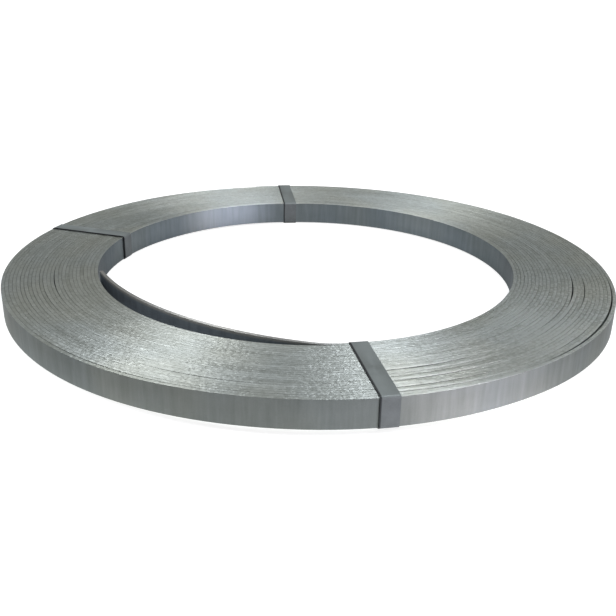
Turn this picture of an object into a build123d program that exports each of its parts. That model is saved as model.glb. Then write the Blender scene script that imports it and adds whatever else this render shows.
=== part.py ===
# A coil of galvanised flat steel strip, lying flat and held by three straps. Millimetres, +Z up.
import os
from math import cos, radians, sin

from build123d import *

# The strip and how it is wound.
strip_width = 30.0
strip_thickness = 4.0
turn_gap = 0.25
turn_count = 27
bore_diameter = 510.0
# How far each turn's edge leans on the coil's ends.
edge_relief = 0.7

# The inner end of the strip has sprung away from the bore wall.
leave_angle = 278.6
bend_radius = 90.0
bend_sweep = 21.1
loose_radius = 372.0
loose_sweep = 50.0
# The wall behind the loose end lies one turn further out, and runs out to it gently past the left strap.
recess_start_angle = 166.0
recess_full_angle = 191.0
recess_end_angle = 274.0

# The outer end of the strip lies just past the back strap, and the turn below it rises to the full size.
outer_end_angle = 104.0
outer_rise_angle = 152.0

# The straps.
strap_width = 19.0
strap_thickness = 1.0
strap_clearance = 0.3
strap_corner_radius = 0.6
strap_front_angle = 281.5
strap_back_angle = 96.7
strap_left_angle = 162.5

# How far a cutting shape runs past the face that it cuts.
cut_overrun = 5.0

turn_pitch = strip_thickness + turn_gap
bore_radius = bore_diameter / 2
outer_radius = bore_radius + turn_count * turn_pitch - turn_gap
second_turn_radius = bore_radius + turn_pitch
coil_base = strap_thickness + strap_clearance
coil_top = coil_base + strip_width


def on_circle(radius, angle):
    return (radius * cos(radians(angle)), radius * sin(radians(angle)))


def mid_point(radius_a, angle_a, radius_b, angle_b):
    return on_circle((radius_a + radius_b) / 2, (angle_a + angle_b) / 2)


# The turns' edges lean in and out by turns, so each turn shows on both ends of the coil.
top_edge = []
base_edge = []
for turn in range(turn_count + 1):
    turn_radius = max(bore_radius, bore_radius + turn * turn_pitch - turn_gap)
    dip = edge_relief if (turn_count - turn) % 2 else 0
    top_edge.append((turn_radius, coil_top - dip))
    base_edge.append((turn_radius, coil_base + dip))

os.makedirs("parts", exist_ok=True)

with BuildPart() as wound_strip:
    with BuildSketch(Plane.XZ):
        with BuildLine():
            Polyline(*top_edge, *reversed(base_edge), close=True)
        make_face()
    revolve(axis=Axis.Z)
    # The wall behind the loose end.
    with BuildSketch(Plane.XY.offset(coil_base - cut_overrun)):
        with BuildLine():
            run_out = ThreePointArc(
                on_circle(bore_radius, recess_start_angle),
                mid_point(bore_radius, recess_start_angle, second_turn_radius, recess_full_angle),
                on_circle(second_turn_radius, recess_full_angle),
            )
            CenterArc((0, 0), second_turn_radius, recess_full_angle, recess_end_angle - recess_full_angle)
            Line(
                on_circle(second_turn_radius, recess_end_angle),
                on_circle(bore_radius - cut_overrun, recess_end_angle),
            )
            CenterArc(
                (0, 0),
                bore_radius - cut_overrun,
                recess_start_angle,
                recess_end_angle - recess_start_angle,
            )
            Line(on_circle(bore_radius - cut_overrun, recess_start_angle), run_out @ 0)
        make_face()
    extrude(amount=strip_width + 2 * cut_overrun, mode=Mode.SUBTRACT)
    # The step at the outer end of the strip.
    with BuildSketch(Plane.XY.offset(coil_base - cut_overrun)):
        with BuildLine():
            rise = ThreePointArc(
                on_circle(outer_radius - strip_thickness, outer_end_angle),
                mid_point(outer_radius - strip_thickness, outer_end_angle, outer_radius, outer_rise_angle),
                on_circle(outer_radius, outer_rise_angle),
            )
            Line(rise @ 1, on_circle(outer_radius + cut_overrun, outer_rise_angle))
            CenterArc(
                (0, 0),
                outer_radius + cut_overrun,
                outer_end_angle,
                outer_rise_angle - outer_end_angle,
            )
            Line(on_circle(outer_radius + cut_overrun, outer_end_angle), rise @ 0)
        make_face()
    extrude(amount=strip_width + 2 * cut_overrun, mode=Mode.SUBTRACT)
    # The loose end bends away from the wall, then runs in a flatter curve back to it.
    with BuildSketch(Plane.XY.offset(coil_base)):
        with BuildLine():
            away = (sin(radians(leave_angle)), -cos(radians(leave_angle)))
            near_bend = JernArc(on_circle(bore_radius, leave_angle), away, bend_radius, -bend_sweep)
            near_run = JernArc(near_bend @ 1, near_bend % 1, loose_radius, -loose_sweep)
            far_bend = JernArc(
                on_circle(bore_radius + strip_thickness, leave_angle),
                away,
                bend_radius + strip_thickness,
                -bend_sweep,
            )
            far_run = JernArc(far_bend @ 1, far_bend % 1, loose_radius + strip_thickness, -loose_sweep)
            Line(near_run @ 1, far_run @ 1)
            Line(near_bend @ 0, far_bend @ 0)
        make_face()
    extrude(amount=strip_width)
wound_strip.part.label = "wound_strip"
export_step(wound_strip.part, "parts/wound_strip.step")

# Each strap is a flat band that runs up the bore, over the top, down the outside and under the coil.
window_length = outer_radius - bore_radius + 3 * strap_clearance
window_height = strip_width + 2 * strap_clearance
window_middle = (outer_radius + bore_radius - strap_clearance) / 2
straps = {
    "strap_front": strap_front_angle,
    "strap_back": strap_back_angle,
    "strap_left": strap_left_angle,
}
for strap_name, strap_angle in straps.items():
    turn_x, turn_y = on_circle(1, strap_angle)
    strap_plane = Plane(
        origin=(window_middle * turn_x, window_middle * turn_y, coil_base + strip_width / 2),
        x_dir=(turn_x, turn_y, 0),
        z_dir=(turn_y, -turn_x, 0),
    )
    with BuildPart() as strap:
        with BuildSketch(strap_plane):
            RectangleRounded(
                window_length + 2 * strap_thickness,
                window_height + 2 * strap_thickness,
                strap_corner_radius + strap_thickness,
            )
            RectangleRounded(window_length, window_height, strap_corner_radius, mode=Mode.SUBTRACT)
        extrude(amount=strap_width / 2, both=True)
    strap.part.label = strap_name
    export_step(strap.part, f"parts/{strap_name}.step")
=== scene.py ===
import math
from collections import namedtuple

import bmesh
import bpy
from bpy.props import FloatProperty, FloatVectorProperty, IntProperty, PointerProperty
from bpy.types import Operator, Panel, PropertyGroup
from mathutils import Matrix, Vector, noise


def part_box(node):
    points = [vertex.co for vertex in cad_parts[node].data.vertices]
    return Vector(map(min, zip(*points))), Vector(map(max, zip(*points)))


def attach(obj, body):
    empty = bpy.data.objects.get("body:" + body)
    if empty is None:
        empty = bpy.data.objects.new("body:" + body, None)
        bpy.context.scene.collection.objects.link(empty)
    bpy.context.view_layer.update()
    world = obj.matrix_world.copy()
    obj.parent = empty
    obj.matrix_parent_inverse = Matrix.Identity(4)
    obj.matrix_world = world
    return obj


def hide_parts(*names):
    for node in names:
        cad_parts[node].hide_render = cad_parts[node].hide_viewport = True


bl_info = {
    "name": "Strapped strip coil",
    "version": (1, 0, 0),
    "blender": (4, 5, 0),
    "location": "3D View > Sidebar > Coil",
    "description": "Winds a flat coil of galvanised strip, with its straps and a plain studio",
    "category": "Object",
}

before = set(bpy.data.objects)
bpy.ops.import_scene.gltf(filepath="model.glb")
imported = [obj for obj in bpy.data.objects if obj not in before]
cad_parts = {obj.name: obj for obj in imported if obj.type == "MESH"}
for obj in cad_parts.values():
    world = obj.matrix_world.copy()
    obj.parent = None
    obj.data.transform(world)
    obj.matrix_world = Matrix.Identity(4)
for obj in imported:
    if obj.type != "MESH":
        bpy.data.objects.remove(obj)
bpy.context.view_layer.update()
coil_low, coil_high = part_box("wound_strip")
mid_height = (coil_low.z + coil_high.z) / 2

FULL_TURN = 360.0
ORIGIN = Vector((0.0, 0.0, 0.0))
UP = Vector((0.0, 0.0, 1.0))
WHITE = (1.0, 1.0, 1.0)

# Mesh steps along the sprung end, round its bend, over a rounding of the strip and round a strap's corner.
LOOSE_STEPS = 36
BEND_STEPS = 14
CROWN_STEPS = 3
CORNER_STEPS = 5
# Distance in metres under which two points are one.
WELD = 2e-6
# Angles in degrees past which an edge of the strip and of a strap is drawn sharp.
STRIP_CREASE = 35.0
STRAP_CREASE = 40.0


def heading(angle):
    """Unit vector in the floor plane, angle in degrees from +X."""
    return Vector((math.cos(math.radians(angle)), math.sin(math.radians(angle)), 0.0))


def turned(first, second, angle):
    """Two axes at right angles, turned in their plane so that the first moves towards the second."""
    cosine, sine = math.cos(angle), math.sin(angle)
    return first * cosine + second * sine, second * cosine - first * sine


def ease(value):
    """Smooth step of a value held between 0 and 1."""
    value = min(max(value, 0.0), 1.0)
    return value * value * (3.0 - 2.0 * value)


def wrapped(angle):
    """Angle in degrees brought between -180 and 180."""
    return (angle + FULL_TURN / 2) % FULL_TURN - FULL_TURN / 2


def share_near(angle, middle, reach):
    """1 at the middle of a stretch, falling smoothly to 0 at its reach to either side, all in degrees."""
    return ease(1.0 - abs(wrapped(angle - middle)) / reach)


def length(name, default, description):
    """A length that a user may change."""
    return FloatProperty(name=name, description=description, default=default, unit="LENGTH", precision=4)


def degrees(name, default, description):
    """An angle that a user may change."""
    return FloatProperty(name=name, description=description, default=default)


def colour(name, default, description):
    """A colour that a user may change."""
    return FloatVectorProperty(
        name=name, description=description, default=default, size=3, min=0.0, max=1.0, subtype="COLOR"
    )


class StripSizes(PropertyGroup):
    """The strip and how it is wound"""

    thickness: length("Thickness", 0.004, "Thickness of the strip")
    crown_width: length("Crown width", 0.0007, "Reach of the rounding over the strip's narrow edges")
    crown_height: length("Crown height", 0.0002, "Fall of that rounding")
    bore_radius: length("Bore radius", 0.255, "Inner face of the first turn where it leaves the sprung end")
    leave_angle: degrees("Leave angle", 278.6, "Where the sprung end leaves the bore, in degrees from +X")
    bend_radius: length("Bend radius", 0.09, "Inner radius of the bend at the root of the sprung end")
    bend_sweep: degrees("Bend sweep", 20.8, "Degrees turned in that bend")
    loose_radius: length("Loose radius", 0.372, "Inner radius of the sprung end's flatter run")
    loose_sweep: degrees("Loose sweep", 49.9, "Degrees turned in the flatter run")
    outer_end_angle: degrees("Outer end", 104.0, "Where the outer end of the strip lies, in degrees from +X")
    whole_turns: IntProperty(name="Whole turns", description="Turns counted at the outer end", default=26)
    steps: IntProperty(name="Steps", description="Mesh steps in one turn", default=180)
    flat_angle: degrees("Flatter side", 345.0, "Where the inner turns bulge inwards, in degrees from +X")
    flat_reach: degrees("Bulge reach", 60.0, "Degrees to either side over which that bulge fades")
    flat_depth: length("Bulge depth", 0.0025, "How far the first turn bulges there")
    slack: length("Slack", 0.00013, "How much nearer a turn may lie to the next than the mean pitch")
    unevenness: length("Unevenness", 0.0002, "How far the turns' edges rise and fall")


class StrapSizes(PropertyGroup):
    """The three straps and where they lie"""

    width: length("Width", 0.019, "Width of a strap")
    thickness: length("Thickness", 0.001, "Thickness of a strap")
    clearance: length("Clearance", 0.0003, "Air between a strap and the coil")
    corner: length("Corner", 0.0022, "Inner radius of a strap's bends")
    front_angle: degrees("Front strap", 281.5, "Place of the front strap, in degrees from +X")
    back_angle: degrees("Back strap", 96.7, "Place of the back strap, in degrees from +X")
    left_angle: degrees("Left strap", 162.5, "Place of the left strap, in degrees from +X")


class FinishColours(PropertyGroup):
    """Colours of the zinc, the straps and the studio"""

    edge_light: colour("Edge, bright", (0.59, 0.625, 0.605), "Rubbed zinc on the strip's narrow edges")
    edge_dark: colour("Edge, dull", (0.415, 0.442, 0.413), "Dull zinc on the strip's narrow edges")
    flat_light: colour("Outer face, bright", (0.31, 0.333, 0.327), "Bright zinc on the strip's outer face")
    flat_dark: colour("Outer face, dull", (0.206, 0.225, 0.216), "Dull zinc on the strip's outer face")
    # Inner face colours: painted shade, a darker, bluer copy of the outer face's zinc for the bore wall.
    bore_shade_light: colour("Inner face, bright", (0.268, 0.304, 0.326), "Bright zinc on the strip's inner face")
    bore_shade_dark: colour("Inner face, dull", (0.17, 0.2, 0.212), "Dull zinc on the strip's inner face")
    # Seam colour: painted shade in the seams between the turns.
    seam: colour("Seam", (0.09, 0.1, 0.095), "Grime in the seams between the turns")
    # Sprung end colours: painted light, a bluish copy of the outer face's zinc for the light in the gap it
    # faces; the edge colour also paints a light band along the face's top.
    sprung_gap_light: colour("Sprung end, bright", (0.36, 0.41, 0.47), "Bright zinc on its outer face")
    sprung_gap_dark: colour("Sprung end, dull", (0.23, 0.265, 0.31), "Dull zinc on its outer face")
    sprung_edge_and_rim_light: colour("Sprung end, edge", (0.5, 0.505, 0.495), "Zinc on its narrow edges")
    warm_tint: colour("Warm tint", (1.0, 0.995, 0.965), "Cast of the zinc where it has dulled most")
    cool_tint: colour("Cool tint", (0.965, 0.985, 1.0), "Cast of the zinc where it is fresh")
    grazing_tint: colour("Grazing tint", (0.6, 0.6, 0.6), "Gloss of the zinc at a grazing angle")
    # Painted light: the straps' top faces are painted lighter than their sides.
    strap_top_light: colour("Strap, dusty", (0.245, 0.275, 0.272), "Strap steel where dust lies on it")
    strap_light: colour("Strap, light", (0.2, 0.22, 0.224), "Strap steel where it is worn")
    strap_dark: colour("Strap, dark", (0.155, 0.172, 0.174), "Strap steel")
    # Painted shadow: near-black along the shaded edge of each strap.
    strap_edge_shadow: colour("Strap, rim", (0.045, 0.05, 0.052), "Blackened slit edge of a strap")
    floor: colour("Floor", (0.55, 0.55, 0.55), "Studio floor")
    surround: colour("Surround", (0.5, 0.5, 0.483), "Light that comes from all round, near the floor")
    overhead: colour("Overhead", (0.2, 0.2, 0.195), "Light that comes from above")
    lamp: colour("Lamps", (0.955, 0.965, 1.0), "Light of the high lamps")
    low_lamp: colour("Low lamp", (0.955, 0.88, 1.0), "Light of the low lamp")


class StudioSettings(PropertyGroup):
    """The camera and where it stands"""

    lens: FloatProperty(name="Lens", description="Focal length in millimetres", default=48.03, unit="CAMERA")
    distance: length("Distance", 1.05043, "Distance from the coil's middle to the camera")
    elevation: degrees("Elevation", 20.64, "Height of the camera over the floor, in degrees")
    pan: degrees("Pan", 0.06, "Turn of the camera to the right, in degrees")
    tilt: degrees("Tilt", -1.93892, "Tilt of the camera upwards, in degrees")
    roll: degrees("Roll", 1.18631, "Roll of the camera, in degrees")


class Wire:
    """A socket in a node tree. Sums and products of values add Math nodes."""

    def __init__(self, tree, socket=None):
        self.tree = tree
        self.socket = socket

    def node(self, kind, settings=None, sockets=None, out=0):
        """A new node with its settings and the values or links of its sockets, as one of its outputs."""
        made = self.tree.nodes.new(kind)
        for key, value in (settings or {}).items():
            setattr(made, key, value)
        for key, value in (sockets or {}).items():
            if isinstance(value, Wire):
                self.tree.links.new(value.socket, made.inputs[key])
            else:
                made.inputs[key].default_value = value
        return Wire(self.tree, made.outputs[out] if made.outputs else None)

    def math(self, operation, first, second=0.0):
        """A Math node on one or two values."""
        return self.node("ShaderNodeMath", {"operation": operation}, {0: first, 1: second})

    def __add__(self, other):
        return self.math("ADD", self, other)

    def __radd__(self, other):
        return self.math("ADD", other, self)

    def __sub__(self, other):
        return self.math("SUBTRACT", self, other)

    def __rsub__(self, other):
        return self.math("SUBTRACT", other, self)

    def __mul__(self, other):
        return self.math("MULTIPLY", self, other)

    def __rmul__(self, other):
        return self.math("MULTIPLY", other, self)

    def __abs__(self):
        return self.math("ABSOLUTE", self)

    def attribute(self, name):
        """A value that the mesh carries at its points."""
        return self.node("ShaderNodeAttribute", {"attribute_name": name}, out="Fac")

    def part(self, axis):
        """The part of this vector along X, Y or Z."""
        return self.node("ShaderNodeSeparateXYZ", None, {0: self}, out=axis)

    def vector(self, operation, *others, out="Vector"):
        """Vector Math on this vector and others."""
        return self.node(
            "ShaderNodeVectorMath", {"operation": operation}, dict(enumerate((self, *others))), out=out
        )

    def spread(self, low, high, to_low=0.0, to_high=1.0):
        """The value's range from low to high, mapped and held."""
        return self.node(
            "ShaderNodeMapRange", {"clamp": True}, {0: self, 1: low, 2: high, 3: to_low, 4: to_high}
        )

    def blend(self, first, second):
        """A colour between two, by this value."""
        return self.node("ShaderNodeMix", {"data_type": "RGBA"}, {0: self, 6: first, 7: second}, out=2)

    def tinted(self, cast):
        """This colour multiplied by another."""
        settings = {"data_type": "RGBA", "blend_type": "MULTIPLY"}
        return self.node("ShaderNodeMix", settings, {0: 1.0, 6: self, 7: cast}, out=2)

    def grain(self, x, y, z, detail=2.0, roughness=0.5):
        """Noise from 0 to 1 at a place given by three values."""
        place = self.node("ShaderNodeCombineXYZ", None, {0: x, 1: y, 2: z})
        sockets = {"Vector": place, "Scale": 1.0, "Detail": detail, "Roughness": roughness}
        return self.node("ShaderNodeTexNoise", None, sockets)

    def cloud(self, cycles, detail):
        """Noise from 0 to 1 at the place that this vector gives."""
        return self.node("ShaderNodeTexNoise", None, {"Vector": self, "Scale": cycles, "Detail": detail})


def new_material(name):
    """An empty material, and a wire to start its nodes from."""
    material = bpy.data.materials.new(name)
    material.use_nodes = True
    material.node_tree.nodes.clear()
    return material, Wire(material.node_tree)


def show(start, shader):
    """Sends a shader to its material's output."""
    start.node("ShaderNodeOutputMaterial", None, {"Surface": shader})


def rgba(tone):
    """A colour with its alpha."""
    return (*tone, 1.0)


# Noises that follow the strip: cycles to a metre along it, cycles across it, slice, detail and roughness.
StripGrain = namedtuple("StripGrain", "along across slice detail roughness")
# Across these, cycles are counted to a turn.
TURN_GRAIN = StripGrain(8.0, 5.0, 0.0, 2.0, 0.5)
STREAK_GRAIN = StripGrain(80.0, 6.0, 3.0, 3.0, 0.6)
# Across these, cycles are counted to a metre.
SPANGLE_GRAIN = StripGrain(220.0, 220.0, 17.0, 2.0, 0.5)
RIPPLE_GRAIN = StripGrain(30.0, 240.0, 23.0, 2.0, 0.5)
UPRIGHT_GRAIN = StripGrain(150.0, 12.0, 7.0, 3.0, 0.6)
CLOUD_GRAIN = StripGrain(9.0, 25.0, 11.0, 2.0, 0.5)
# Cycles of the bands round the coil and across it, of the specks, and of the faint cast, with its detail.
BAND_AROUND = 2.0
BAND_ACROSS = 120.0
SPECK_CYCLES = 900.0
CAST_CYCLES = 11.0
CAST_DETAIL = 1.0
# Middle of a noise's range.
NOISE_MEAN = 0.5
# Upward part of the normal over which a wide face's finish changes to a narrow edge's.
EDGE_SLANT = (0.2, 0.6)
# How far a face looks outwards, to either side of zero, where the inner face's finish, with its painted
# shade, becomes the outer's.
OUTWARD_REACH = 0.05
# Length in metres over which the sprung end's finish comes in at its root.
SPRUNG_FADE = 0.02
# Shares of the coil's height between which the sprung end's face turns into its rim, a band of painted light
# along its top.
SPRUNG_RIM_LIGHT_SHARES = (0.87, 0.95)
# Shares of the noises, the painted glints, the painted light and shade by the edges' rise, and the painted
# seam shade in the tone of the narrow edges.
TURN_SHARE = 0.2
STREAK_SHARE = 0.33
SPANGLE_SHARE = 0.36
BAND_SHARE = 0.15
GLINT_SHARE = 0.5
PROUD_LIGHT_SHARE = 0.12
SEAM_SHADE_SHARE = 0.5
# Shares of the noises in the tone of the wide faces.
UPRIGHT_SHARE = 0.5
CLOUD_SHARE = 0.5
# Ranges of the noises from dull to bright on the narrow edges and the wide faces, and from warm to cool.
EDGE_TONES = (0.38, 0.62)
FLAT_TONES = (0.32, 0.68)
CAST_TONES = (0.38, 0.62)
# Roughness of the inner and outer faces and the narrow edges, and what the noises add to it.
INNER_ROUGHNESS = 0.31
OUTER_ROUGHNESS = 0.45
EDGE_ROUGHNESS = 0.24
BAND_ROUGHNESS = 0.36
SPECK_ROUGHNESS = 0.14
CLOUD_ROUGHNESS = 0.06
# Relief of the noises, how strongly it shows, and its height in metres.
FACE_RELIEF = 0.05
UPRIGHT_RELIEF = 0.5
RIPPLE_RELIEF = 2.0
SPANGLE_RELIEF = 0.75
FLECK_RELIEF = 0.5
ZINC_RELIEF_STRENGTH = 0.7
ZINC_RELIEF_HEIGHT = 0.001
# How metallic the zinc is, how far its gloss is drawn out, and a quarter turn for the way it is drawn.
ZINC_METAL = 0.95
ZINC_STRETCH = 0.79
STRETCH_TURN = 0.25


def strip_grain(run, across, grain):
    """Noise that follows the strip, by its run and one measure across it."""
    return run.grain(
        run * grain.along, across * grain.across, grain.slice, detail=grain.detail, roughness=grain.roughness
    )


def galvanised_zinc(tones):
    """Hot-dip zinc: bright streaks on the narrow edges, dull with upright streaks on the wide faces; painted
    seam shade, painted light by rise, painted glints, painted shade on the inner faces and painted light on
    the sprung end.
    """
    material, start = new_material("galvanised_zinc")
    run, turn, proud, seam, fleck = (
        start.attribute(name) for name in ("run", "turn", "proud", "seam", "fleck")
    )
    place = start.node("ShaderNodeTexCoord", out="Object")
    height = place.part("Z")
    level_place = place.vector("MULTIPLY", (1.0, 1.0, 0.0))
    radius = level_place.vector("LENGTH", out="Value")
    normal = start.node("ShaderNodeNewGeometry", out="Normal")
    edge = abs(normal.part("Z")).spread(*EDGE_SLANT)
    outer = level_place.vector("DOT_PRODUCT", normal, out="Value").spread(-OUTWARD_REACH, OUTWARD_REACH)
    sprung = run.spread(-SPRUNG_FADE, 0.0, 1.0, 0.0)

    streak = strip_grain(run, turn, STREAK_GRAIN)
    spangle = strip_grain(run, radius, SPANGLE_GRAIN)
    ripple = strip_grain(run, radius, RIPPLE_GRAIN)
    upright = strip_grain(run, height, UPRIGHT_GRAIN)
    cloud = strip_grain(run, height, CLOUD_GRAIN)
    speck = start.grain(run * SPECK_CYCLES, height * SPECK_CYCLES, radius * SPECK_CYCLES)
    facing = level_place.vector("NORMALIZE")
    band = start.grain(facing.part("X") * BAND_AROUND, facing.part("Y") * BAND_AROUND, radius * BAND_ACROSS)

    mottle = strip_grain(run, turn, TURN_GRAIN) * TURN_SHARE + streak * STREAK_SHARE
    mottle = mottle + spangle * SPANGLE_SHARE + band * BAND_SHARE
    # Painted glints: the spangle's tone contrast is raised where the seams are shut, in the bright sector of
    # the top.
    painted_glints = (spangle - NOISE_MEAN) * fleck * GLINT_SHARE
    # Painted light: edges that stand proud are painted brighter, and edges that lie low are painted darker.
    edge_tone = (mottle + painted_glints + proud * PROUD_LIGHT_SHARE).spread(*EDGE_TONES)
    unshaded_edge = edge_tone.blend(rgba(tones.edge_dark), rgba(tones.edge_light))
    # Painted shade: the narrow edges darken towards the seams.
    seam_shaded_edge = (seam * SEAM_SHADE_SHARE).blend(unshaded_edge, rgba(tones.seam))
    edge_colour = sprung.blend(seam_shaded_edge, rgba(tones.sprung_edge_and_rim_light))

    flat_tone = (upright * UPRIGHT_SHARE + cloud * CLOUD_SHARE).spread(*FLAT_TONES)
    # Painted light on the sprung end: its own face tones, and a light band along its top.
    sprung_gap_face = flat_tone.blend(rgba(tones.sprung_gap_dark), rgba(tones.sprung_gap_light))
    sprung_rim_light = height.spread(*(share * coil_high.z for share in SPRUNG_RIM_LIGHT_SHARES))
    outer_colour = sprung.blend(
        flat_tone.blend(rgba(tones.flat_dark), rgba(tones.flat_light)),
        sprung_rim_light.blend(sprung_gap_face, rgba(tones.sprung_edge_and_rim_light)),
    )
    # Inner faces take the painted shade colours of the bore wall.
    flat_colour = outer.blend(flat_tone.blend(rgba(tones.bore_shade_dark), rgba(tones.bore_shade_light)), outer_colour)
    cast_tone = place.cloud(CAST_CYCLES, CAST_DETAIL).spread(*CAST_TONES)
    cast = cast_tone.blend(rgba(tones.warm_tint), rgba(tones.cool_tint))

    face_roughness = outer.spread(0.0, 1.0, INNER_ROUGHNESS, OUTER_ROUGHNESS)
    dull = (1.0 - edge) * face_roughness + edge * (EDGE_ROUGHNESS + BAND_ROUGHNESS * band)
    face_relief = (speck + upright * UPRIGHT_RELIEF) * FACE_RELIEF
    edge_relief = ripple * RIPPLE_RELIEF + spangle * (SPANGLE_RELIEF + FLECK_RELIEF * fleck)
    bump = start.node(
        "ShaderNodeBump",
        None,
        {
            "Strength": ZINC_RELIEF_STRENGTH,
            "Distance": ZINC_RELIEF_HEIGHT,
            "Height": face_relief + edge_relief * edge,
        },
    )
    shader = start.node(
        "ShaderNodeBsdfPrincipled",
        None,
        {
            "Base Color": edge.blend(flat_colour, edge_colour).tinted(cast),
            "Metallic": ZINC_METAL,
            "Roughness": dull + SPECK_ROUGHNESS * speck + CLOUD_ROUGHNESS * cloud,
            "Specular Tint": rgba(tones.grazing_tint),
            "Anisotropic": ZINC_STRETCH,
            "Anisotropic Rotation": STRETCH_TURN,
            "Normal": bump,
        },
    )
    show(start, shader)
    return material


# Place across a strap, from its middle at 0 to its edge at 1, over which a painted shadow turns it black.
EDGE_SHADOW_PLACES = (0.78, 0.88)
# Cycles to a metre and detail of the wear and of the grit, and their shares in the tone.
WEAR_CYCLES = 90.0
WEAR_DETAIL = 3.0
WEAR_SHARE = 0.7
GRIT_CYCLES = 900.0
GRIT_DETAIL = 2.0
GRIT_SHARE = 0.3
# Range of their sum from dark to light.
STRAP_TONES = (0.35, 0.65)
# Share of the painted top light that stays where the strap is darkest.
TOP_LIGHT_SHARE = 0.8
# How metallic a strap is, how far its gloss is drawn out, and its roughness with what the wear adds.
STRAP_METAL = 0.8
STRAP_STRETCH = 0.4
STRAP_ROUGHNESS = 0.55
WEAR_ROUGHNESS = 0.1
# How strongly the grit shows as relief, and its height in metres.
STRAP_RELIEF_STRENGTH = 0.08
STRAP_RELIEF_HEIGHT = 0.0002


def strap_steel(tones):
    """Smooth dark steel band, faintly worn, with painted light on its top faces and a painted shadow along
    one edge.
    """
    material, start = new_material("strap_steel")
    place = start.node("ShaderNodeTexCoord", out="Object")
    # Painted light: faces turned up are painted lighter than the strap's sides.
    top_light = start.node("ShaderNodeNewGeometry", out="Normal").part("Z").spread(0.0, 1.0)
    # Painted shadow along one edge of the strap.
    rim = start.attribute("across").spread(*EDGE_SHADOW_PLACES)
    wear = place.cloud(WEAR_CYCLES, WEAR_DETAIL)
    grit = place.cloud(GRIT_CYCLES, GRIT_DETAIL)
    tone = (wear * WEAR_SHARE + grit * GRIT_SHARE).spread(*STRAP_TONES)
    steel = tone.blend(rgba(tones.strap_dark), rgba(tones.strap_light))
    top_lit = (top_light * tone.spread(0.0, 1.0, TOP_LIGHT_SHARE, 1.0)).blend(steel, rgba(tones.strap_top_light))
    bump = start.node(
        "ShaderNodeBump",
        None,
        {"Strength": STRAP_RELIEF_STRENGTH, "Distance": STRAP_RELIEF_HEIGHT, "Height": grit},
    )
    shader = start.node(
        "ShaderNodeBsdfPrincipled",
        None,
        {
            "Base Color": rim.blend(top_lit, rgba(tones.strap_edge_shadow)),
            "Metallic": STRAP_METAL,
            "Roughness": STRAP_ROUGHNESS + WEAR_ROUGHNESS * wear,
            "Anisotropic": STRAP_STRETCH,
            "Anisotropic Rotation": STRETCH_TURN,
            "Normal": bump,
        },
    )
    show(start, shader)
    return material


# White that the camera sees on the floor: two distances from the middle in metres, and the white at each.
SEEN_WHITE = (0.40, 1.2, 0.76, 1.0)
# White that gloss sees on the floor, given the same way: inside the coil, close beside it and further off.
# Close beside the coil it glows brighter than white, a painted reflection on the coil's lower walls.
BORE_GLOW = (0.3, 0.36, 0.16, 1.0)
BESIDE_RING_GLOW = (0.37, 0.44, 1.1, 0.0)
FAR_GLOW = (0.42, 0.9, 0.0, 1.0)


def pale_floor(tones):
    """Matt floor that the camera sees as white, with the coil's shadow on it, and a ring beside the coil
    that glows for gloss alone, a painted reflection.
    """
    material, start = new_material("pale_floor")
    kinds = ("Camera", "Glossy", "Transmission")
    seen, glossy, transmitted = (start.node("ShaderNodeLightPath", out=f"Is {kind} Ray") for kind in kinds)
    mirrored = start.math("MAXIMUM", glossy, transmitted)
    away = start.node("ShaderNodeTexCoord", out="Object").vector("LENGTH", out="Value")
    # Gloss sees a dim floor inside the coil, a ring brighter than white beside it (a painted reflection) and
    # white further off.
    gloss_white_and_ring = away.spread(*BORE_GLOW) * away.spread(*BESIDE_RING_GLOW) + away.spread(*FAR_GLOW)
    white = seen * away.spread(*SEEN_WHITE) + mirrored * gloss_white_and_ring
    matt = start.node("ShaderNodeBsdfDiffuse", None, {"Color": rgba(tones.floor)})
    light = start.node("ShaderNodeEmission", None, {"Color": white, "Strength": 1.0})
    show(start, start.node("ShaderNodeAddShader", None, {0: matt, 1: light}))
    return material


def points_of(geometry):
    """The vertices among some parts of a bmesh."""
    return [part for part in geometry if isinstance(part, bmesh.types.BMVert)]


def rounded_frame(middle, width, height, normal, radius, steps):
    """A flat face with rounded corners, whose width and height are vectors."""
    place = Matrix.Translation(middle) @ Matrix((width, height, normal)).transposed().to_4x4()
    tool = bmesh.new()
    bmesh.ops.create_grid(tool, x_segments=1, y_segments=1, size=0.5, matrix=place)
    bmesh.ops.bevel(
        tool, geom=tool.verts[:], offset=radius, offset_type="OFFSET", segments=steps, profile=0.5,
        affect="VERTICES", material=-1,
    )
    return tool


def linked_object(name, tool, material):
    """Turns a finished bmesh into an object of the scene."""
    mesh = bpy.data.meshes.new(name)
    tool.to_mesh(mesh)
    tool.free()
    mesh.materials.append(material)
    made = bpy.data.objects.new(name, mesh)
    bpy.context.scene.collection.objects.link(made)
    return made


def add_piece(name, tool, material, replaced, crease):
    """A piece that rides on the coil and stands for a solid, smooth up to the crease angle."""
    for face in tool.faces:
        face.smooth = True
    piece = linked_object(name, tool, material)
    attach(piece, "root")
    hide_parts(replaced)
    piece.data.set_sharp_from_angle(angle=math.radians(crease))
    return piece


def winding_turns(strip):
    """Turns of the strip from where it leaves the sprung end to its outer end."""
    return strip.whole_turns + ((strip.outer_end_angle - strip.leave_angle) % FULL_TURN) / FULL_TURN


def spiral_pitch(strip):
    """Mean distance from one turn to the next that brings the outer end to the solid's radius."""
    last_inner = coil_high.x - strip.thickness
    return (last_inner - strip.bore_radius) / winding_turns(strip)


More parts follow.
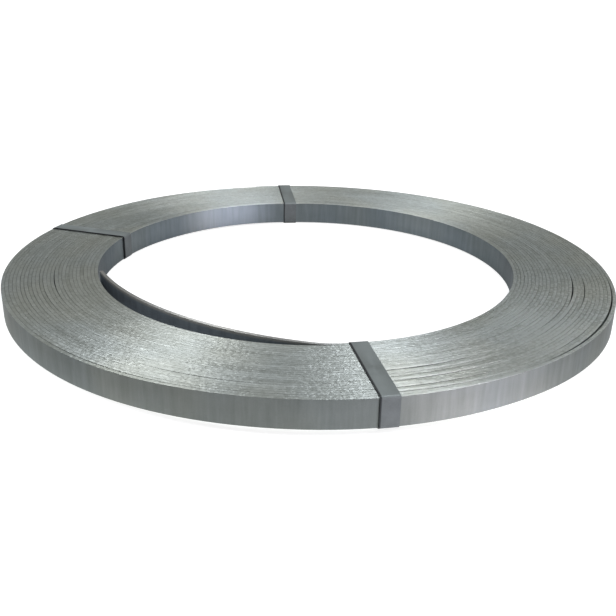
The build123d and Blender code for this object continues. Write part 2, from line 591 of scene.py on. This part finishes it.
# Gaps: turn, middle and reach to either side in degrees, give of the turns inside and outside in metres.
Gap = namedtuple("Gap", "turn middle before after inside outside")
LOOSE_TURNS = (
    Gap(25.62, 328.0, 30.0, 30.0, 0.0004, 0.0015),
    Gap(15.68, 342.0, 11.0, 14.0, 0.0007, 0.0006),
    Gap(18.7, 342.0, 10.0, 12.0, 0.0003, 0.0004),
    Gap(12.5, 199.0, 11.0, 13.0, 0.0004, 0.0003),
    Gap(20.44, 254.0, 16.0, 14.0, 0.00035, 0.00035),
)
# Stretches: first and last turn from the bore, middle and reach in degrees, and rise in metres.
Stretch = namedtuple("Stretch", "first last middle reach rise")
# Stretches where the turns stand unevenly, by turns higher and lower.
RIBBED_TURNS = (
    Stretch(9, 21, 203.0, 20.0, 0.0001),
    Stretch(14, 19, 328.0, 14.0, 0.0002),
    Stretch(14, 26, 289.0, 15.0, 0.0003),
    Stretch(0, 2, 347.0, 14.0, 0.0001),
    Stretch(2, 2, 116.0, 24.0, 0.0001),
)
# Stretches where the turns stand proud of the rest, or lie below it.
PROUD_TURNS = (
    Stretch(0, 1, 116.0, 26.0, 0.0006),
    Stretch(4, 23, 320.0, 13.0, 0.00045),
    Stretch(2, 26, 148.0, 18.0, -0.0003),
    Stretch(16, 16, 330.0, 18.0, 0.0005),
    Stretch(25, 26, 238.0, 26.0, -0.0006),
    Stretch(26, 26, 300.0, 20.0, 0.0006),
)
# Turn of phase in radians from each ribbed turn to the next.
RIB_BEAT = 2.4
# Rise in metres at which an edge gets its full painted highlight; edges lying as low get as much painted
# shade.
FULL_LIGHT_RISE = 0.0004
# Cycles to a metre, and slice, of the noise by which the edges rise and fall along the strip.
UNEVEN_CYCLES = 1.3
UNEVEN_SLICE = 5.0
# Extra depth in metres of the seams beside a low rib, and the painted shade of the other seams as a share.
SEAM_DEPTH = 0.0005
SEAM_SHADE_BASE = 0.35
# Where the seams are shut and carry less painted shade: middle and reach in degrees, and how far at the
# middle.
SHUT_MIDDLE = 333.0
SHUT_REACH = 50.0
SHUT_MOST = 0.8
# Share of a seam's width that the strip takes up where the seam is shut.
SEAM_CLOSING = 0.6


def stretches_at(table, turn, angle):
    """Rise of each stretch that takes in a turn, and how near its middle an angle is, from 0 to 1."""
    layer = math.floor(turn)
    for stretch in table:
        if stretch.first <= layer <= stretch.last:
            yield stretch.rise, share_near(angle, stretch.middle, stretch.reach)


def rib_height(turn):
    """Height of a ribbed turn, from -1 to 1."""
    return math.sin(RIB_BEAT * math.floor(turn))


def edge_rise(strip, turn, angle, run):
    """How far the strip's edges lie above their mean height."""
    rise = strip.unevenness * noise.noise((run * UNEVEN_CYCLES, 0.0, UNEVEN_SLICE))
    for rib, share in stretches_at(RIBBED_TURNS, turn, angle):
        rise += rib * rib_height(turn) * share
    for height, share in stretches_at(PROUD_TURNS, turn, angle):
        rise += height * share
    return rise


def open_share(turn, angle):
    """How open the seams beside a turn are, from 0 to 1."""
    low = max(0.0, -rib_height(turn))
    return max((low * share for _, share in stretches_at(RIBBED_TURNS, turn, angle)), default=0.0)


def shut_share(angle):
    """How far the seams are shut and free of painted shade, from 0 to 1."""
    return SHUT_MOST * share_near(angle, SHUT_MIDDLE, SHUT_REACH)


def gap_shift(strip, turn, angle):
    """Radial shift of a turn that makes room for the gaps between loose turns and for the bulge."""
    shift = 0.0
    for gap in LOOSE_TURNS:
        offset = wrapped(angle - gap.middle)
        share = share_near(angle, gap.middle, gap.after if offset > 0 else gap.before)
        layers = math.floor(turn - gap.turn - offset / FULL_TURN)
        if layers >= 0:
            shift += share * max(0.0, gap.outside - strip.slack * layers)
        else:
            shift -= share * max(0.0, gap.inside - strip.slack * (-1 - layers))
    flatter = share_near(angle, strip.flat_angle, strip.flat_reach)
    depth = 1.0 - turn / winding_turns(strip)
    return shift - strip.flat_depth * flatter * depth


def strip_section(strip):
    """Rounded section of the strip at the free tip of the sprung end, and the centres of its curves."""
    bend_centre = heading(strip.leave_angle) * (strip.bore_radius - strip.bend_radius)
    run_angle = strip.leave_angle - strip.bend_sweep
    run_centre = bend_centre - heading(run_angle) * (strip.loose_radius - strip.bend_radius)
    outward = heading(run_angle - strip.loose_sweep)
    middle = run_centre + outward * (strip.loose_radius + strip.thickness / 2)
    middle.z = mid_height
    flatten = strip.crown_height / strip.crown_width
    across = UP * ((coil_high.z - coil_low.z) / flatten)
    along = outward.cross(across).normalized()
    tool = rounded_frame(middle, outward * strip.thickness, across, along, strip.crown_width, CROWN_STEPS)
    bmesh.ops.scale(tool, vec=(1.0, 1.0, flatten), space=Matrix.Translation(-middle), verts=tool.verts[:])
    bmesh.ops.delete(tool, geom=tool.faces[:], context="FACES_ONLY")
    return tool, bend_centre, run_centre


def wind(tool, section, centre, sweep, steps, growth=ORIGIN):
    """Spins the section about a centre and gives back its last place."""
    made = bmesh.ops.spin(
        tool, geom=section, cent=centre, axis=UP, dvec=growth, angle=math.radians(sweep), steps=steps,
        use_merge=False, use_duplicate=False,
    )
    return made["geom_last"]


# Values that each point of the strip carries for its shape and finish.
MARKS = ("turn", "run", "proud", "seam", "fleck")


def first_turns(strip):
    """The strip from its sprung end to the end of its first whole turn, with its marks and that turn."""
    pitch = spiral_pitch(strip)
    part_turn = winding_turns(strip) - strip.whole_turns
    part_steps = round(part_turn * strip.steps)
    part_growth = heading(strip.leave_angle) * (pitch * part_turn / part_steps)
    whole_growth = heading(strip.outer_end_angle) * (pitch / strip.steps)
    bend_length = math.radians(strip.bend_sweep) * strip.bend_radius
    loose_length = math.radians(strip.loose_sweep) * strip.loose_radius

    tool, bend_centre, run_centre = strip_section(strip)
    around = len(tool.verts)
    marks = {name: tool.verts.layers.float.new(name) for name in MARKS}
    last = wind(tool, tool.verts[:] + tool.edges[:], run_centre, strip.loose_sweep, LOOSE_STEPS)
    last = wind(tool, last, bend_centre, strip.bend_sweep, BEND_STEPS)
    last = wind(tool, last, ORIGIN, part_turn * FULL_TURN, part_steps, part_growth)
    faces_before = len(tool.faces)
    wind(tool, last, ORIGIN, FULL_TURN, strip.steps, whole_growth)
    for index, vert in enumerate(tool.verts):
        step = index // around - LOOSE_STEPS - BEND_STEPS
        if step > part_steps:
            vert[marks["turn"]] = part_turn + (step - part_steps) / strip.steps
        elif step > 0:
            vert[marks["turn"]] = part_turn * step / part_steps
        elif step > -BEND_STEPS:
            vert[marks["run"]] = bend_length * step / BEND_STEPS
        else:
            vert[marks["run"]] = loose_length * (step + BEND_STEPS) / LOOSE_STEPS - bend_length
    tool.faces.ensure_lookup_table()
    faces = tool.faces[faces_before:]
    return tool, marks, list({part for face in faces for part in (face, *face.edges, *face.verts)})


def repeat_turn(tool, marks, whole_turn, strip):
    """Copies the first whole turn outwards for each of the others."""
    pitch = spiral_pitch(strip)
    for count in range(1, strip.whole_turns):
        copied = bmesh.ops.duplicate(tool, geom=whole_turn)["geom"]
        for vert in points_of(copied):
            vert[marks["turn"]] += count
            vert.co += heading(strip.leave_angle + vert[marks["turn"]] * FULL_TURN) * pitch * count


def settle_turns(tool, marks, strip):
    """Moves the even turns to where they lie, with gaps, seams and rises, and marks them for the finish,
    with its painted seam shade, painted light by rise and painted glints.
    """
    pitch = spiral_pitch(strip)
    for vert in tool.verts:
        turn = vert[marks["turn"]]
        angle = strip.leave_angle + turn * FULL_TURN
        shut = 0.0
        beside_turn = False
        if turn > 0.0:
            shut = shut_share(angle)
            outer_side = vert.co.to_2d().length > strip.bore_radius + pitch * turn + strip.thickness / 2
            beside_turn = turn < winding_turns(strip) - 1 if outer_side else turn > 1
            vert[marks["run"]] = math.tau * turn * (strip.bore_radius + pitch * turn / 2)
            give = gap_shift(strip, turn, angle)
            if outer_side and beside_turn:
                give += SEAM_CLOSING * (pitch - strip.thickness) * shut
            vert.co += heading(angle) * give
        rise = edge_rise(strip, turn, angle, vert[marks["run"]])
        # The shut share also sets where painted glints show.
        vert[marks["fleck"]] = shut
        # The proud mark carries painted highlight on raised edges and painted shade on lowered ones.
        vert[marks["proud"]] = rise / FULL_LIGHT_RISE
        fall = min(coil_high.z - vert.co.z, vert.co.z - coil_low.z) / strip.crown_height
        if beside_turn and fall > 0.0:
            fall = min(fall, 1.0)
            opened = open_share(turn, angle)
            closed = shut * (1.0 - opened)
            # The seam mark is painted shade beside each seam, stronger where the seam stands open and weaker
            # where it is shut.
            base_shade = SEAM_SHADE_BASE * (1.0 - closed)
            depth = SEAM_DEPTH * opened - strip.crown_height * closed
            vert[marks["seam"]] = fall * (base_shade + (1.0 - base_shade) * opened)
            vert.co.z -= math.copysign(depth * fall, vert.co.z - mid_height)
        vert.co.z += rise


class COIL_OT_wound_strip(Operator):
    """Wind the strip, with its sprung inner end and its loose turns"""

    bl_idname = "coil.wound_strip"
    bl_label = "Wound strip"

    def execute(self, context):
        strip = context.scene.coil_strip
        tool, marks, whole_turn = first_turns(strip)
        repeat_turn(tool, marks, whole_turn, strip)
        settle_turns(tool, marks, strip)
        bmesh.ops.remove_doubles(tool, verts=tool.verts[:], dist=WELD)
        bmesh.ops.holes_fill(tool, edges=[edge for edge in tool.edges if edge.is_boundary], sides=0)
        bmesh.ops.recalc_face_normals(tool, faces=tool.faces[:])
        zinc = galvanised_zinc(context.scene.coil_finish)
        add_piece("wound_strip_zinc", tool, zinc, "wound_strip", STRIP_CREASE)
        return {"FINISHED"}


# Clearances that a flat strap's middle keeps from the hollow bore wall, to which its edges lie nearer.
BORE_CLEARANCES = 2.0


def strap_band(strip, sizes, angle, shadow_side):
    """A closed band round the wound section, marked 1 along the edge with the painted shadow and -1 along
    the other.
    """
    pitch = spiral_pitch(strip)
    inner = strip.bore_radius + pitch * ((angle - strip.leave_angle) % FULL_TURN) / FULL_TURN
    outer = coil_high.x - pitch * ((strip.outer_end_angle - angle) % FULL_TURN) / FULL_TURN
    inner -= sizes.clearance * BORE_CLEARANCES
    outer += sizes.clearance
    low, high = sizes.thickness, coil_high.z + sizes.clearance
    outward = heading(angle)
    side = UP.cross(outward)
    middle = outward * (inner + outer) / 2 + UP * ((low + high) / 2) - side * sizes.width / 2
    width, height = outward * (outer - inner), UP * (high - low)
    tool = rounded_frame(middle, width, height, side, sizes.corner, CORNER_STEPS)
    bmesh.ops.delete(tool, geom=tool.faces[:], context="FACES_ONLY")
    made = bmesh.ops.extrude_edge_only(tool, edges=tool.edges[:])
    bmesh.ops.translate(tool, vec=side * sizes.width, verts=points_of(made["geom"]))
    bmesh.ops.recalc_face_normals(tool, faces=tool.faces[:])
    bmesh.ops.solidify(tool, geom=tool.faces[:], thickness=-sizes.thickness)
    bmesh.ops.recalc_face_normals(tool, faces=tool.faces[:])
    across = tool.verts.layers.float.new("across")
    for vert in tool.verts:
        # Marks the side that takes the painted edge shadow.
        vert[across] = math.copysign(1.0, shadow_side * vert.co.dot(side))
    return tool


class COIL_OT_straps(Operator):
    """Fit the three straps round the wound section"""

    bl_idname = "coil.straps"
    bl_label = "Straps"

    def execute(self, context):
        sizes = context.scene.coil_strap
        steel = strap_steel(context.scene.coil_finish)
        # Each strap's place, and the side that its painted edge shadow is on.
        places = {
            "strap_front": (sizes.front_angle, -1.0),
            "strap_back": (sizes.back_angle, 1.0),
            "strap_left": (sizes.left_angle, 1.0),
        }
        for node, (angle, shadow_side) in places.items():
            tool = strap_band(context.scene.coil_strip, sizes, angle, shadow_side)
            piece = add_piece(f"{node}_band", tool, steel, node, STRAP_CREASE)
            piece.modifiers.new("even_normals", "WEIGHTED_NORMAL").keep_sharp = True
        return {"FINISHED"}


# Half the floor's side, and how far the camera sees, in metres.
FLOOR_HALF = 30.0
VIEW_REACH = 100.0
# Width of the camera's sensor in millimetres.
SENSOR_WIDTH = 36.0
# Upward part of a direction over which the light from all round changes to the light from above.
OVERHEAD_SLANT = (0.3, 0.6)
# Lamps: bearing and height in degrees, distance, width and depth in metres, watts, and name of the colour.
Lamp = namedtuple("Lamp", "bearing rise distance width depth power tone")
LAMPS = {
    "high_left": Lamp(160.0, 60.0, 2.5, 0.5, 0.5, 24.0, "lamp"),
    "high_right": Lamp(14.0, 72.0, 2.5, 0.5, 0.5, 24.0, "lamp"),
    "back_right": Lamp(42.0, 30.0, 2.5, 0.6, 0.6, 2.8, "lamp"),
    "low_right": Lamp(323.0, 5.0, 2.6, 2.0, 0.3, 37.0, "low_lamp"),
}


class COIL_OT_studio(Operator):
    """Set out the floor, the soft lights and the camera"""

    bl_idname = "coil.studio"
    bl_label = "Studio"

    def execute(self, context):
        scene = context.scene
        tool = bmesh.new()
        bmesh.ops.create_grid(tool, x_segments=1, y_segments=1, size=FLOOR_HALF)
        linked_object("studio_floor", tool, pale_floor(scene.coil_finish))
        self.world(scene)
        for name, lamp in LAMPS.items():
            self.lamp(scene, name, lamp)
        self.camera(scene)
        scene.view_settings.view_transform = "Standard"
        return {"FINISHED"}

    def world(self, scene):
        """Light from all round and from above, which the camera sees as white."""
        tones = scene.coil_finish
        scene.world = bpy.data.worlds.new("studio_world")
        scene.world.use_nodes = True
        scene.world.node_tree.nodes.clear()
        start = Wire(scene.world.node_tree)
        above = start.node("ShaderNodeTexCoord", out="Generated").part("Z").spread(*OVERHEAD_SLANT)
        light = above.blend(rgba(tones.surround), rgba(tones.overhead))
        seen = start.node("ShaderNodeLightPath", out="Is Camera Ray")
        sky = {"Color": seen.blend(light, rgba(WHITE)), "Strength": 1.0}
        start.node("ShaderNodeOutputWorld", None, {"Surface": start.node("ShaderNodeBackground", None, sky)})

    def lamp(self, scene, name, lamp):
        """A soft lamp that shines on the coil's middle."""
        data = bpy.data.lights.new(name, "AREA")
        data.shape = "RECTANGLE"
        data.size = lamp.width
        data.size_y = lamp.depth
        data.energy = lamp.power
        data.color = getattr(scene.coil_finish, lamp.tone)
        made = bpy.data.objects.new(name, data)
        rise = math.radians(lamp.rise)
        made.location = lamp.distance * (heading(lamp.bearing) * math.cos(rise) + UP * math.sin(rise))
        made.rotation_euler = (-made.location).to_track_quat("-Z", "Y").to_euler()
        scene.collection.objects.link(made)

    def camera(self, scene):
        """A camera in front of the coil, panned, tilted and rolled to the view."""
        view = scene.coil_studio
        right = Vector((1.0, 0.0, 0.0))
        forward = Vector((0.0, 1.0, 0.0))
        above, ahead = turned(UP, forward, math.radians(view.elevation))
        place = UP * coil_low.z - ahead * view.distance
        ahead, right = turned(ahead, right, math.radians(view.pan))
        ahead, above = turned(ahead, above, math.radians(view.tilt))
        right, above = turned(right, above, math.radians(view.roll))
        data = bpy.data.cameras.new("studio_camera")
        data.sensor_width = SENSOR_WIDTH
        data.lens = view.lens
        data.clip_end = VIEW_REACH
        camera = bpy.data.objects.new("studio_camera", data)
        axes = Matrix((right, above, -ahead)).transposed()
        camera.matrix_world = Matrix.Translation(place) @ axes.to_4x4()
        scene.collection.objects.link(camera)
        scene.camera = camera


class COIL_PT_sidebar(Panel):
    """Sizes and pieces of the coil"""

    bl_idname = "COIL_PT_sidebar"
    bl_label = "Strip coil"
    bl_space_type = "VIEW_3D"
    bl_region_type = "UI"
    bl_category = "Coil"

    def draw(self, context):
        for group in (getattr(context.scene, name) for name in GROUPS):
            box = self.layout.box()
            for name in group.__annotations__:
                box.prop(group, name)
        for operator in OPERATORS:
            self.layout.operator(operator.bl_idname)


GROUPS = {
    "coil_strip": StripSizes,
    "coil_strap": StrapSizes,
    "coil_finish": FinishColours,
    "coil_studio": StudioSettings,
}
OPERATORS = (COIL_OT_wound_strip, COIL_OT_straps, COIL_OT_studio)


def register():
    for name, group in GROUPS.items():
        bpy.utils.register_class(group)
        setattr(bpy.types.Scene, name, PointerProperty(type=group))
    for operator in OPERATORS:
        bpy.utils.register_class(operator)
    bpy.utils.register_class(COIL_PT_sidebar)


def unregister():
    bpy.utils.unregister_class(COIL_PT_sidebar)
    for operator in reversed(OPERATORS):
        bpy.utils.unregister_class(operator)
    for name, group in GROUPS.items():
        delattr(bpy.types.Scene, name)
        bpy.utils.unregister_class(group)


def main():
    register()
    bpy.ops.coil.wound_strip()
    bpy.ops.coil.straps()
    bpy.ops.coil.studio()


if __name__ == "__main__":
    main()
